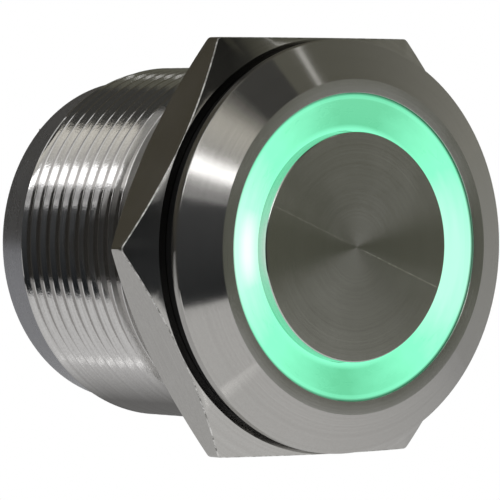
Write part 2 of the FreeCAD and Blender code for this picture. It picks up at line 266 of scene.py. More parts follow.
def moulded_grain_group():
    """Fine spark-eroded grain of a moulding, with slow mottling."""
    tree, given, out = make_group(
        "Moulded Grain", [("Grain Size", 14000.0), ("Mottle Size", 500.0)], ["Grain", "Mottle"]
    )
    point = place(tree)[0]
    connect(tree, noise(tree, point, given["Grain Size"], 3.0, 0.6), out["Grain"])
    connect(tree, noise(tree, point, given["Mottle Size"], 3.0, 0.5), out["Mottle"])
    return tree


TURNED_LAY = turned_lay_group()
HANDLING = handling_group()
MOULDED_GRAIN = moulded_grain_group()


def shader_of(material):
    """The Principled shader of a material."""
    return next(n for n in material.node_tree.nodes if n.type == "BSDF_PRINCIPLED")


def new_material(name):
    """Material with its node tree and Principled shader."""
    material = bpy.data.materials.new(name)
    material.use_nodes = True
    return material, material.node_tree, shader_of(material)


def add_bump(tree, shader, height, distance):
    """Bump from a height into the shader's normal."""
    node = tree.nodes.new("ShaderNodeBump")
    node.inputs["Strength"].default_value = 1.0
    node.inputs["Distance"].default_value = distance
    connect(tree, height, node.inputs["Height"])
    tree.links.new(node.outputs[0], shader.inputs["Normal"])


# Size of the broad rings in fine ones, and the turn that lays the highlight across the marks
BROAD_TO_FINE = 7.5
ACROSS_MARKS = 0.25


def turned_metal(name, light, dark, rough, marks, stretch, fine=9000.0, speckle=0.0):
    """Metal turned on a lathe: highlights stretch across its concentric tool marks; speckle roughens it."""
    material, tree, shader = new_material(name)
    lay = use_group(tree, TURNED_LAY, Fine_Rings=fine, Broad_Rings=fine / BROAD_TO_FINE)
    wear = use_group(tree, HANDLING)
    grain = use_group(tree, MOULDED_GRAIN, Grain_Size=9500.0)
    tone = remap(tree, weighted(tree, lay["Fine"], grain["Grain"], 0.45), 0.3, 0.7, 0.0, 1.0)
    connect(tree, blend_colour(tree, tone, dark, light), shader.inputs["Base Color"])
    dull = weighted(tree, lay["Fine"], wear["Smudge"], 0.5)
    connect(tree, remap(tree, dull, 0.1, 0.9, *rough), shader.inputs["Roughness"])
    shader.inputs["Metallic"].default_value = 1.0
    shader.inputs["Anisotropic"].default_value = stretch
    shader.inputs["Anisotropic Rotation"].default_value = ACROSS_MARKS
    point = tree.nodes.new("ShaderNodeTexCoord").outputs["Object"]
    around = tree.nodes.new("ShaderNodeVectorMath")
    around.operation = "CROSS_PRODUCT"
    tree.links.new(point, around.inputs[0])
    around.inputs[1].default_value = (0.0, 1.0, 0.0)
    tree.links.new(around.outputs[0], shader.inputs["Tangent"])
    height = calc(tree, "ADD", lay["Height"], calc(tree, "MULTIPLY", grain["Grain"], speckle))
    add_bump(tree, shader, height, marks)
    return material


def drawn_metal(name, light, dark, rough, marks):
    """Rolled, drawn or plated metal with grain, mottling, smudges and nicks."""
    material, tree, shader = new_material(name)
    wear = use_group(tree, HANDLING, Smudge_Size=500.0)
    grain = use_group(tree, MOULDED_GRAIN, Grain_Size=9000.0, Mottle_Size=900.0)
    connect(tree, blend_colour(tree, grain["Mottle"], dark, light), shader.inputs["Base Color"])
    connect(tree, remap(tree, wear["Smudge"], 0.0, 1.0, *rough), shader.inputs["Roughness"])
    shader.inputs["Metallic"].default_value = 1.0
    add_bump(tree, shader, calc(tree, "SUBTRACT", grain["Grain"], wear["Nicks"]), marks)
    return material


def moulding(name, light, dark, rough, marks, specular=0.5):
    """Moulded plastic or rubber with a fine grain."""
    material, tree, shader = new_material(name)
    grain = use_group(tree, MOULDED_GRAIN)
    wear = use_group(tree, HANDLING)
    connect(tree, blend_colour(tree, grain["Mottle"], dark, light), shader.inputs["Base Color"])
    connect(tree, remap(tree, wear["Smudge"], 0.0, 1.0, *rough), shader.inputs["Roughness"])
    shader.inputs["Specular IOR Level"].default_value = specular
    add_bump(tree, shader, grain["Grain"], marks)
    return material


# Lit lens: its colours, the radii of its bright core, and the radii where its rims and its painted edge
# shadow begin and end
LENS_DEEP = (0.12, 0.59, 0.31, 1)
LENS_GREEN = (0.24, 0.96, 0.58, 1)
LENS_BRIGHT = (0.50, 0.98, 0.77, 1)
LENS_WHITE = (0.98, 1.0, 1.0, 1)
LENS_RIM = (0.26, 1.0, 0.62, 1)
LENS_EDGE_SHADOW = (0.03, 0.14, 0.07, 1)
LENS_BASE = (0.04, 0.13, 0.08, 1)
CORE_R = 7.9 * MM
CORE_HALF = (0.15 * MM, 0.9 * MM)
INNER_RIM = (7.1 * MM, 7.4 * MM)
OUTER_RIM = (8.88 * MM, 8.95 * MM)
EDGE_SHADOW_BAND = (9.10 * MM, 9.22 * MM)
RIGHT_LAMP = (0.99, -0.14)


def lit_lens(name):
    """Milky lens lit from behind: brightest over the two lamps, deeper green a quarter turn away."""
    material, tree, shader = new_material(name)
    _, x, y, z, radius = place(tree)
    across = calc(tree, "DIVIDE", x, radius)
    right = calc(tree, "ADD", *(calc(tree, "MULTIPLY", v, share) for v, share in zip((x, z), RIGHT_LAMP)))
    lobes = calc(tree, "MAXIMUM", calc(tree, "DIVIDE", right, radius), calc(tree, "MULTIPLY", across, -1.0))
    flow = noise(tree, join_xyz(tree, radius, calc(tree, "MULTIPLY", across, 4.0 * MM), y), 900.0, 3.0, 0.6)
    drift = calc(tree, "MULTIPLY", calc(tree, "SUBTRACT", flow, 0.5), 0.3)
    glow = calc(tree, "ADD", lobes, drift)
    near = remap(tree, glow, 0.74, 1.0, 0.0, 1.0)
    body = blend_colour(tree, remap(tree, glow, 0.10, 0.68, 0.0, 1.0), LENS_DEEP, LENS_GREEN)
    body = blend_colour(tree, near, body, LENS_BRIGHT)
    off_middle = calc(tree, "ABSOLUTE", calc(tree, "SUBTRACT", radius, CORE_R))
    core = calc(tree, "MULTIPLY", remap(tree, across, -0.955, -0.998, 0.0, 0.9),
                remap(tree, off_middle, *CORE_HALF, 1.0, 0.2))
    body = blend_colour(tree, core, body, LENS_WHITE)
    rims = calc(tree, "MAXIMUM", remap(tree, radius, *INNER_RIM, 0.9, 0.0),
                remap(tree, radius, *OUTER_RIM, 0.0, 0.35))
    body = blend_colour(tree, calc(tree, "MULTIPLY", rims, calc(tree, "SUBTRACT", 1.0, near)), body, LENS_RIM)
    # Painted shadow: a dark line at the lens's outer edge, where it meets the bezel.
    body = blend_colour(tree, remap(tree, radius, *EDGE_SHADOW_BAND, 0.0, 0.8), body, LENS_EDGE_SHADOW)
    connect(tree, body, shader.inputs["Emission Color"])
    shader.inputs["Emission Strength"].default_value = 1.0
    shader.inputs["Base Color"].default_value = LENS_BASE
    connect(tree, remap(tree, flow, 0.3, 0.7, 0.24, 0.38), shader.inputs["Roughness"])
    add_bump(tree, shader, flow, 0.02 * MM)
    return material


# Painted highlight lines, the darker cap centre and painted shade on the metal: where each begins and ends
GLINT_FROM = (0.3 * MM, 1.2 * MM)
FACE_MIDDLE_R = 6.5 * MM
SHADE_BELOW_Z = (-7.2 * MM, -9.8 * MM)
SHADE_LEFT_X = (-3.0 * MM, -7.0 * MM)
SHADE_LEFT_Z = (-2.0 * MM, 2.0 * MM)
SHADE_ACROSS_Z = (2.5 * MM, 5.0 * MM)


def glint(tree, degrees, width, strength):
    """Painted highlight: 1 along a fine radial line on a turned face, at an angle from +X towards -Z."""
    point, x, _, z, _ = place(tree)
    c, s = math.cos(math.radians(degrees)), -math.sin(math.radians(degrees))
    side = calc(tree, "SUBTRACT", calc(tree, "MULTIPLY", x, s), calc(tree, "MULTIPLY", z, c))
    ahead = calc(tree, "ADD", calc(tree, "MULTIPLY", x, c), calc(tree, "MULTIPLY", z, s))
    line = calc(tree, "MULTIPLY", remap(tree, calc(tree, "ABSOLUTE", side), 0.0, width, 1.0, 0.0),
                remap(tree, ahead, *GLINT_FROM, 0.0, 1.0))
    broken = remap(tree, noise(tree, point, 4000.0, 2.0), 0.35, 0.6, 0.3, 1.0)
    return calc(tree, "MULTIPLY", calc(tree, "MULTIPLY", line, broken), strength)


def tint(material, colour, share):
    """Blend a colour into a material's own, by a share that a rule gives in its tree."""
    tree = material.node_tree
    base = shader_of(material).inputs["Base Color"]
    connect(tree, blend_colour(tree, share(tree), base.links[0].from_socket, colour), base)


def painted_face_glints(tree):
    """Two fine painted highlight lines from the centre of the turned cap."""
    return calc(tree, "MAXIMUM", glint(tree, 22.0, 0.07 * MM, 0.65), glint(tree, 202.0, 0.09 * MM, 0.25))


def face_middle(tree):
    """Darker towards the centre of the turned cap."""
    return remap(tree, place(tree)[4], 0.0, FACE_MIDDLE_R, 0.35, 0.0)


def painted_shade_below(tree):
    """Painted shade on the thread's underside, darker towards the bottom."""
    return remap(tree, place(tree)[3], *SHADE_BELOW_Z, 0.0, 0.85)


def painted_shade_left(tree):
    """Painted shade on the upper left of the nut's front, next to the bezel."""
    _, x, _, z, _ = place(tree)
    return calc(tree, "MULTIPLY", remap(tree, x, *SHADE_LEFT_X, 0.0, 0.75),
                remap(tree, z, *SHADE_LEFT_Z, 0.0, 1.0))


def painted_shade_across(tree):
    """Painted shade across the middle of the nut's rear face, beside the barrel."""
    height = calc(tree, "ABSOLUTE", place(tree)[3])
    return remap(tree, height, *SHADE_ACROSS_Z, 0.9, 0.0)


def edge_glint_breaks(tree):
    """Darker stretches that break up the painted highlight along the nut's edge."""
    return remap(tree, noise(tree, place(tree)[0], 2600.0, 3.0, 0.7), 0.44, 0.62, 0.0, 0.85)


# Materials: light and dark colour, roughness from and to, height of the marks, and a moulding's shine
STEEL = turned_metal(
    "Turned stainless", (0.50, 0.49, 0.47, 1), (0.42, 0.41, 0.39, 1), (0.09, 0.14), 0.0006 * MM,
    stretch=1.0, speckle=0.5)
LAND_METAL = turned_metal(
    "Bezel land", (0.56, 0.555, 0.53, 1), (0.47, 0.465, 0.44, 1), (0.18, 0.25), 0.0006 * MM,
    stretch=1.0, speckle=0.5)
CAP_METAL = turned_metal(
    "Cap face", (0.52, 0.515, 0.48, 1), (0.44, 0.435, 0.40, 1), (0.17, 0.24), 0.0006 * MM,
    stretch=1.0, speckle=0.5)
# Cap wall: its green tint is a painted reflection of the lit lens.
CAP_WALL = turned_metal(
    "Cap wall", (0.62, 0.68, 0.63, 1), (0.52, 0.58, 0.53, 1), (0.08, 0.14), 0.0004 * MM, stretch=0.3)
NUT_METAL, NUT_FRONT = (
    turned_metal(name, (0.55, 0.54, 0.52, 1), (0.46, 0.45, 0.43, 1), (0.13, 0.21), 0.0008 * MM,
                 stretch=0.5, fine=6000.0, speckle=0.8)
    for name in ("Turned nut", "Nut front"))
# Nut edge: a near-white copy of the nut metal, a painted highlight along the nut's chamfer edge.
NUT_EDGE_GLINT = turned_metal(
    "Nut edge", (0.95, 0.94, 0.92, 1), (0.45, 0.44, 0.42, 1), (0.28, 0.5), 0.004 * MM,
    stretch=0.0, fine=6000.0, speckle=1.0)
NUT_REAR = turned_metal(
    "Nut rear", (0.80, 0.79, 0.77, 1), (0.70, 0.69, 0.67, 1), (0.45, 0.60), 0.0008 * MM,
    stretch=0.2, fine=6000.0, speckle=0.8)
THREAD_METAL = turned_metal(
    "Cut thread", (0.68, 0.67, 0.66, 1), (0.48, 0.47, 0.46, 1), (0.05, 0.11), 0.0015 * MM,
    stretch=0.4, fine=8000.0, speckle=1.4)
SPIGOT_METAL = turned_metal(
    "Plain barrel end", (0.32, 0.32, 0.335, 1), (0.26, 0.26, 0.275, 1), (0.24, 0.32), 0.001 * MM,
    stretch=0.3, fine=8000.0, speckle=0.6)
tint(CAP_METAL, (0.30, 0.30, 0.285, 1), face_middle)
# Painted highlight: two fine radial lines of light on the cap face.
tint(CAP_METAL, (1.0, 0.98, 0.95, 1), painted_face_glints)
# Painted shade: the thread's underside darkened towards the bottom, where the nut shades it.
tint(THREAD_METAL, (0.08, 0.078, 0.075, 1), painted_shade_below)
# Painted shade: the upper left of the nut's front darkened next to the bezel.
tint(NUT_FRONT, (0.08, 0.078, 0.072, 1), painted_shade_left)
# Painted shade: the middle of the nut's rear face darkened beside the barrel.
tint(NUT_REAR, (0.05, 0.05, 0.048, 1), painted_shade_across)
# Painted highlight on the nut's edge, broken into darker stretches.
tint(NUT_EDGE_GLINT, (0.16, 0.155, 0.145, 1), edge_glint_breaks)
for worn, share in ((STEEL, 0.97), (LAND_METAL, 0.97), (SPIGOT_METAL, 0.86), (NUT_REAR, 0.6)):
    shader_of(worn).inputs["Metallic"].default_value = share
LENS = lit_lens("Lit lens")
GASKET = moulding(
    "Gasket rubber", (0.006, 0.006, 0.006, 1), (0.003, 0.003, 0.003, 1), (0.45, 0.65), 0.008 * MM, 0.15)
SEAL = moulding("Seal rubber", (0.03, 0.03, 0.03, 1), (0.018, 0.018, 0.018, 1), (0.45, 0.6), 0.008 * MM, 0.4)
BLACK = moulding("Black moulding", (0.030, 0.030, 0.032, 1), (0.018, 0.018, 0.02, 1), (0.42, 0.6), 0.01 * MM)
WHITE = moulding("White moulding", (0.80, 0.79, 0.75, 1), (0.70, 0.69, 0.65, 1), (0.38, 0.52), 0.006 * MM)
RESIN = moulding("Casting resin", (0.016, 0.016, 0.018, 1), (0.01, 0.01, 0.012, 1), (0.10, 0.22), 0.002 * MM)
BOARD = moulding("Lamp board", (0.030, 0.17, 0.07, 1), (0.018, 0.12, 0.045, 1), (0.25, 0.4), 0.004 * MM)
CHIP = moulding("Chip ceramic", (0.05, 0.05, 0.05, 1), (0.03, 0.03, 0.03, 1), (0.35, 0.5), 0.004 * MM)
LAMP = moulding("Lamp resin", (0.72, 0.92, 0.58, 1), (0.62, 0.84, 0.48, 1), (0.15, 0.25), 0.002 * MM)
SPRING_STEEL = drawn_metal(
    "Spring steel", (0.58, 0.57, 0.55, 1), (0.46, 0.45, 0.44, 1), (0.22, 0.34), 0.002 * MM)
TINNED = drawn_metal("Tinned brass", (0.74, 0.71, 0.64, 1), (0.62, 0.59, 0.52, 1), (0.24, 0.42), 0.003 * MM)
BRASS = drawn_metal("Rolled brass", (0.74, 0.55, 0.26, 1), (0.62, 0.45, 0.20, 1), (0.24, 0.38), 0.003 * MM)
SILVER = drawn_metal("Contact silver", (0.86, 0.85, 0.82, 1), (0.74, 0.73, 0.70, 1), (0.18, 0.3), 0.002 * MM)


# Mesh helpers

# Edges sharper than these stay crisp: elsewhere, and on the housing with its steep thread
SHARP_DEGREES = 40.0
HOUSING_SHARP_DEGREES = 30.0

# Facets of one plane and edges to be broken, by the angle between their faces
FLAT_WITHIN = math.radians(1.0)
SHARP_FROM = math.radians(35.0)

# Share of a side that a corner's rounding may take, and lengths that count as none
SIDE_SHARE = 0.45
TINY = 1e-7
AXIS_R = 1e-9
MERGE = 1e-8
HOUSING_MERGE = 1e-6
THREAD_MERGE = 2e-7


def rounded(points, radii, steps=4):
    """Outline with its corners rounded: one radius per point, and none at the two ends."""
    out = [points[0]]
    for i in range(1, len(points) - 1):
        p, radius = np.array(points[i]), radii[i]
        to_before = np.array(points[i - 1]) - p
        to_after = np.array(points[i + 1]) - p
        a, b = to_before / np.linalg.norm(to_before), to_after / np.linalg.norm(to_after)
        half = 0.5 * math.acos(max(-1.0, min(1.0, float(a @ b))))
        shorter = min(np.linalg.norm(to_before), np.linalg.norm(to_after))
        reach = min(radius / math.tan(half), SIDE_SHARE * shorter)
        if reach < TINY:
            out.append(tuple(p))
            continue
        real = reach * math.tan(half)
        middle = (a + b) / np.linalg.norm(a + b)
        centre = p + middle * real / math.sin(half)
        start, end = p + a * reach - centre, p + b * reach - centre
        turn = math.atan2(start[0] * end[1] - start[1] * end[0], float(start @ end))
        for k in range(steps + 1):
            c, s = math.cos(turn * k / steps), math.sin(turn * k / steps)
            out.append((centre[0] + c * start[0] - s * start[1], centre[1] + s * start[0] + c * start[1]))
    out.append(points[-1])
    return out


def closed(points, radii, steps=4):
    """Closed outline with every corner rounded by its own radius."""
    first = ((points[0][0] + points[-1][0]) / 2, (points[0][1] + points[-1][1]) / 2)
    ring = rounded([first] + list(points) + [first], [0] + list(radii) + [0], steps)
    return ring[:-1]


def turned_mesh(outline, loop):
    """Mesh turned round the button's axis from (radius, y) points; loop joins the last point to the first."""
    mesh = bmesh.new()
    rings = []
    for r, y in outline:
        if r < AXIS_R:
            rings.append([mesh.verts.new((0, y, 0))])
            continue
        turns = [2 * math.pi * k / SEGMENTS for k in range(SEGMENTS)]
        rings.append([mesh.verts.new((r * math.sin(t), y, r * math.cos(t))) for t in turns])
    pairs = list(zip(rings, rings[1:])) + ([(rings[-1], rings[0])] if loop else [])
    for a, b in pairs:
        for k in range(SEGMENTS):
            n = (k + 1) % SEGMENTS
            corners = [a[k % len(a)], a[n % len(a)], b[n % len(b)], b[k % len(b)]]
            corners = list(dict.fromkeys(corners))
            if len(corners) > 2:
                mesh.faces.new(corners)
    return mesh


def to_object(mesh, name, material, merge=MERGE, sharp_degrees=SHARP_DEGREES):
    """Finished object from a bmesh: doubles merged, faces outward, normals weighted by face area."""
    bmesh.ops.remove_doubles(mesh, verts=mesh.verts, dist=merge)
    bmesh.ops.recalc_face_normals(mesh, faces=mesh.faces)
    data = bpy.data.meshes.new(name)
    mesh.to_mesh(data)
    mesh.free()
    piece = bpy.data.objects.new(name, data)
    bpy.context.scene.collection.objects.link(piece)
    data.materials.append(material)
    smooth_by_area(piece, sharp_degrees)
    return piece


def smooth_by_area(piece, sharp_degrees=SHARP_DEGREES):
    """Smooth shading that keeps flats flat and edges sharper than the given angle crisp."""
    data = piece.data
    data.polygons.foreach_set("use_smooth", np.ones(len(data.polygons), bool))
    data.set_sharp_from_angle(angle=math.radians(sharp_degrees))
    weigh = piece.modifiers.new("weigh", "WEIGHTED_NORMAL")
    weigh.keep_sharp = True
    graph = bpy.context.evaluated_depsgraph_get()
    done = bpy.data.meshes.new_from_object(
        piece.evaluated_get(graph), preserve_all_data_layers=True, depsgraph=graph)
    piece.modifiers.remove(weigh)
    piece.data = done
    done.name = piece.name
    bpy.data.meshes.remove(data)


def lathe(name, points, radii, material, body, node):
    """Turned piece from a closed outline that stands for a CAD node."""
    piece = to_object(turned_mesh(closed(points, radii), True), name, material)
    return fit_piece(piece, body, node)


def fit_piece(piece, body, node):
    """Set a new piece on its body, in place of its CAD node."""
    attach(piece, body)
    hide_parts(node)
    return piece


# Geometry Nodes: what follows a rule

def new_geometry_tree(name, inputs):
    """Geometry tree with named inputs; gives the tree, its input sockets and its output socket."""
    tree = bpy.data.node_groups.new(name, "GeometryNodeTree")
    for label, kind in inputs:
        tree.interface.new_socket(label, in_out="INPUT", socket_type=kind)
    tree.interface.new_socket("Geometry", in_out="OUTPUT", socket_type="NodeSocketGeometry")
    given = tree.nodes.new("NodeGroupInput").outputs
    out = tree.nodes.new("NodeGroupOutput").inputs["Geometry"]
    return tree, given, out


def end_tree(tree, geometry, material, out):
    """Close a tree with Realize Instances and Set Material."""
    real = tree.nodes.new("GeometryNodeRealizeInstances")
    dressed = tree.nodes.new("GeometryNodeSetMaterial")
    tree.links.new(geometry, real.inputs[0])
    tree.links.new(real.outputs[0], dressed.inputs["Geometry"])
    tree.links.new(material, dressed.inputs["Material"])
    tree.links.new(dressed.outputs[0], out)


def grown_mesh(tree, name, values):
    """Plain mesh that a geometry tree makes with the given values, its modifier removed."""
    holder = bpy.data.objects.new(name + "_source", bpy.data.meshes.new(name + "_source"))
    bpy.context.scene.collection.objects.link(holder)
    modifier = holder.modifiers.new(name, "NODES")
    modifier.node_group = tree
    for item in tree.interface.items_tree:
        if item.item_type == "SOCKET" and item.in_out == "INPUT":
            modifier[item.identifier] = values[item.name]
    graph = bpy.context.evaluated_depsgraph_get()
    data = bpy.data.meshes.new_from_object(holder.evaluated_get(graph))
    holder.modifiers.remove(modifier)
    bpy.data.objects.remove(holder)
    return data


def to_position(tree, geometry, vector):
    """Set Position node on a geometry."""
    node = tree.nodes.new("GeometryNodeSetPosition")
    tree.links.new(geometry, node.inputs["Geometry"])
    tree.links.new(vector, node.inputs["Position"])
    return node.outputs[0]


def round_axis(tree, radius, y, angle):
    """Point at a radius and a depth, turned round the button's axis from +Z towards +X."""
    x = calc(tree, "MULTIPLY", radius, calc(tree, "SINE", angle))
    z = calc(tree, "MULTIPLY", radius, calc(tree, "COSINE", angle))
    return join_xyz(tree, x, y, z)


def thread_tree():
    """Right-handed thread as one skin: rows follow the helix, and both ends run out on a cone."""
    tree, given, out = new_geometry_tree("Helical thread", [
        ("Pitch", "NodeSocketFloat"), ("Crest Radius", "NodeSocketFloat"), ("Depth", "NodeSocketFloat"),
        ("Start", "NodeSocketFloat"), ("Start Radius", "NodeSocketFloat"), ("End", "NodeSocketFloat"),
        ("End Radius", "NodeSocketFloat"), ("Segments", "NodeSocketInt"), ("Turns", "NodeSocketInt"),
        ("Rows per Turn", "NodeSocketInt"), ("Material", "NodeSocketMaterial"),
    ])
    grid = tree.nodes.new("GeometryNodeMeshGrid")
    connect(tree, calc(tree, "ADD", given["Segments"], 1), grid.inputs["Vertices X"])
    rows = calc(tree, "ADD", calc(tree, "MULTIPLY", given["Turns"], given["Rows per Turn"]), 1)
    connect(tree, rows, grid.inputs["Vertices Y"])
    axes = tree.nodes.new("ShaderNodeSeparateXYZ")
    tree.links.new(tree.nodes.new("GeometryNodeInputPosition").outputs[0], axes.inputs[0])
    around = calc(tree, "ADD", axes.outputs[0], 0.5)
    turn = calc(tree, "MULTIPLY", calc(tree, "ADD", axes.outputs[1], 0.5), given["Turns"])
    along = calc(tree, "MULTIPLY", given["Pitch"], calc(tree, "SUBTRACT", calc(tree, "ADD", turn, around), 1))
    y = calc(tree, "ADD", given["Start"], along)
    y = calc(tree, "MINIMUM", calc(tree, "MAXIMUM", y, given["Start"]), given["End"])
    from_crest = calc(tree, "ABSOLUTE", calc(tree, "SUBTRACT", calc(tree, "FRACT", turn), 0.5))
    flank = calc(tree, "ADD", remap(tree, from_crest, 0.0, CREST_HALF, CREST_CROWN, 0.0),
                 remap(tree, from_crest, CREST_HALF, ROOT_FROM, 1.0 - CREST_CROWN, 0.0))
    root = calc(tree, "SUBTRACT", given["Crest Radius"], given["Depth"])
    radius = calc(tree, "ADD", root, calc(tree, "MULTIPLY", given["Depth"], flank))
    run_in = calc(tree, "ADD", given["Start Radius"], calc(tree, "SUBTRACT", y, given["Start"]))
    run_out = calc(tree, "ADD", given["End Radius"], calc(tree, "SUBTRACT", given["End"], y))
    radius = calc(tree, "MINIMUM", radius, calc(tree, "MINIMUM", run_in, run_out))
    angle = calc(tree, "MULTIPLY", around, 2 * math.pi)
    moved = to_position(tree, grid.outputs["Mesh"], round_axis(tree, radius, y, angle))
    merged = tree.nodes.new("GeometryNodeMergeByDistance")
    tree.links.new(moved, merged.inputs["Geometry"])
    merged.inputs["Distance"].default_value = THREAD_MERGE
    end_tree(tree, merged.outputs[0], given["Material"], out)
    return tree


def coil_tree():
    """Compression spring whose end turns lie closed against their seats."""
    tree, given, out = new_geometry_tree("Coil spring", [
        ("Coil Radius", "NodeSocketFloat"), ("Wire Radius", "NodeSocketFloat"), ("Front", "NodeSocketFloat"),
        ("Back", "NodeSocketFloat"), ("Turns", "NodeSocketFloat"), ("Points", "NodeSocketInt"),
        ("Material", "NodeSocketMaterial"),
    ])
    line = tree.nodes.new("GeometryNodeCurvePrimitiveLine")
    points = tree.nodes.new("GeometryNodeResampleCurve")
    tree.links.new(line.outputs[0], points.inputs["Curve"])
    tree.links.new(given["Points"], points.inputs["Count"])
    share = tree.nodes.new("GeometryNodeSplineParameter").outputs["Factor"]
    angle = calc(tree, "MULTIPLY", calc(tree, "MULTIPLY", share, given["Turns"]), 2 * math.pi)
    low = calc(tree, "ADD", given["Front"], given["Wire Radius"])
    high = calc(tree, "SUBTRACT", given["Back"], given["Wire Radius"])
    y = remap(tree, share, SPRING_END_SHARE, 1.0 - SPRING_END_SHARE, low, high)
    moved = to_position(tree, points.outputs[0], round_axis(tree, given["Coil Radius"], y, angle))
    wire = tree.nodes.new("GeometryNodeCurvePrimitiveCircle")
    wire.inputs["Resolution"].default_value = WIRE_SIDES
    tree.links.new(given["Wire Radius"], wire.inputs["Radius"])
    tube = tree.nodes.new("GeometryNodeCurveToMesh")
    tube.inputs["Fill Caps"].default_value = True
    tree.links.new(moved, tube.inputs["Curve"])
    tree.links.new(wire.outputs[0], tube.inputs["Profile Curve"])
    end_tree(tree, tube.outputs[0], given["Material"], out)
    return tree


# Pieces

def housing_material(middle):
    """Index of the housing's material at a face's middle: 0 turned, 1 thread, 2 plain end, 3 land."""
    if middle.y < -BEZEL_HEIGHT + LAND_BAND:
        return 3
    if middle.y <= RELIEF_END or middle.xz.length <= OUTSIDE_R:
        return 0
    return 1 if middle.y < SPIGOT_START else 2


def make_housing():
    """Bezel and barrel in one skin: turned head and bore, closed by the helical thread."""
    outline = [
        (RELIEF_R, RELIEF_END), (RELIEF_R, 0), (BEZEL_R, 0), (BEZEL_R, -BEZEL_RIM),
        (BEZEL_FLAT_R, -BEZEL_HEIGHT), (APERTURE_R, -BEZEL_HEIGHT), (APERTURE_R, SEAT_Y), (WEB_R, SEAT_Y),
        (WEB_R, WEB_END), (BORE_R, WEB_END), (BORE_R, GROOVE_FRONT), (GROOVE_R, GROOVE_FRONT),
        (GROOVE_R, GROOVE_BACK), (BORE_R, GROOVE_BACK), (BORE_R, REAR_Y),
        (SPIGOT_R - SPIGOT_CHAMFER, REAR_Y), (SPIGOT_R, REAR_Y - SPIGOT_CHAMFER), (SPIGOT_R, SPIGOT_START),
    ]
    radii = [0, 0.05, 0.12, 0.08, 0.05, 0.035] + [0.03] * 4 + [0.02] * 4 + [0.05] * 3 + [0]
    mesh = turned_mesh(rounded(outline, [r * MM for r in radii]), False)
    thread = grown_mesh(thread_tree(), "thread", {
        "Pitch": THREAD_PITCH, "Crest Radius": THREAD_R, "Depth": THREAD_DEPTH, "Start": RELIEF_END,
        "Start Radius": RELIEF_R, "End": SPIGOT_START, "End Radius": SPIGOT_R, "Segments": SEGMENTS,
        "Turns": THREAD_TURNS, "Rows per Turn": THREAD_ROWS, "Material": THREAD_METAL,
    })
    mesh.from_mesh(thread)
    piece = to_object(mesh, "housing_turned", STEEL, HOUSING_MERGE, HOUSING_SHARP_DEGREES)
    for material in (THREAD_METAL, SPIGOT_METAL, LAND_METAL):
        piece.data.materials.append(material)
    for face in piece.data.polygons:
        face.material_index = housing_material(face.center)
    return fit_piece(piece, "housing", "housing")


def make_cap():
    """Turned cap with its flange, boss and socket."""
    outline = [
        (0, CAP_FACE), (CAP_R, CAP_FACE), (CAP_R, CAP_FLANGE), (CAP_FLANGE_R, CAP_FLANGE),
        (CAP_FLANGE_R, CAP_BACK), (CUP_R, CAP_BACK), (CUP_R, CAP_FLOOR), (BOSS_R, CAP_FLOOR),
        (BOSS_R, CAP_BACK), (SOCKET_R, CAP_BACK), (SOCKET_R, SOCKET_FLOOR), (0, SOCKET_FLOOR),
    ]
    radii = [0, 0.1, 0.03, 0.05, 0.05, 0.05, 0.1, 0.1, 0.05, 0.05, 0.03, 0]
    mesh = turned_mesh(rounded(outline, [r * MM for r in radii]), False)
    piece = to_object(mesh, "cap_turned", CAP_METAL)
    piece.data.materials.append(CAP_WALL)
    for face in piece.data.polygons:
        at_wall = face.center.xz.length > CAP_R - CAP_WALL_BAND
        face.material_index = int(at_wall and abs(face.normal.y) < 0.97)
    return fit_piece(piece, "button", "button_cap")


def make_lens():
    """Moulded lens: dished lit face, narrow land at its rim and the tube behind it."""
    inner_y = LENS_TOP + LENS_DISH
    dish = []
    for k in range(LENS_STEPS + 1):
        t = k / LENS_STEPS
        r = LENS_IN_R + t * (LENS_LAND_R - LENS_IN_R)
        y = inner_y + t * (LENS_TOP - inner_y) + 4 * t * (1 - t) * LENS_BOW
        dish.append((r, y))
    outline = dish + [
        (LENS_R, LENS_TOP), (LENS_R, LENS_SHOULDER), (TUBE_R, LENS_SHOULDER), (TUBE_R, TUBE_END),
        (TUBE_IN_R, TUBE_END), (TUBE_IN_R, SEAT_Y), (LENS_IN_R, SEAT_Y),
    ]
    radii = [0.03] + [0.0] * (LENS_STEPS - 1) + [0.02] + [0.03] * 7
    return lathe("lens_moulded", outline, [r * MM for r in radii], LENS, "housing", "lens_ring")


def make_gasket():
    """Flat rubber gasket with moulded edges."""
    outline = [(GASKET_IN_R, 0), (GASKET_R, 0), (GASKET_R, GASKET_THICK), (GASKET_IN_R, GASKET_THICK)]
    radii = [GASKET_ROUND] * len(outline)
    return lathe("gasket_moulded", outline, radii, GASKET, "housing", "panel_gasket")


def nut_reach(angle):
    """Distance from the axis to the nut's side at an angle, its six corners rounded."""
    off = (angle % NUT_SIDE) - NUT_SIDE / 2
    centre = (NUT_APOTHEM - NUT_CORNER) / math.cos(NUT_SIDE / 2)
    lean = NUT_SIDE / 2 - abs(off)
    edge = math.atan2(NUT_CORNER * math.sin(NUT_SIDE / 2), centre + NUT_CORNER * math.cos(NUT_SIDE / 2))
    if lean < edge:
        return centre * math.cos(lean) + math.sqrt(NUT_CORNER ** 2 - (centre * math.sin(lean)) ** 2)
    return NUT_APOTHEM / math.cos(off)


def nut_angles():
    """Angles of the nut's sections, close together at its corners."""
    span = 1.0 - 2 * NUT_SIDE_FROM
    shares = [0.0, *NUT_CORNER_SHARES]
    shares += [NUT_SIDE_FROM + span * i / NUT_SIDE_STEPS for i in range(NUT_SIDE_STEPS + 1)]
    shares += [1 - share for share in reversed(NUT_CORNER_SHARES)]
    return [(k + share) * NUT_SIDE for k in range(6) for share in shares]


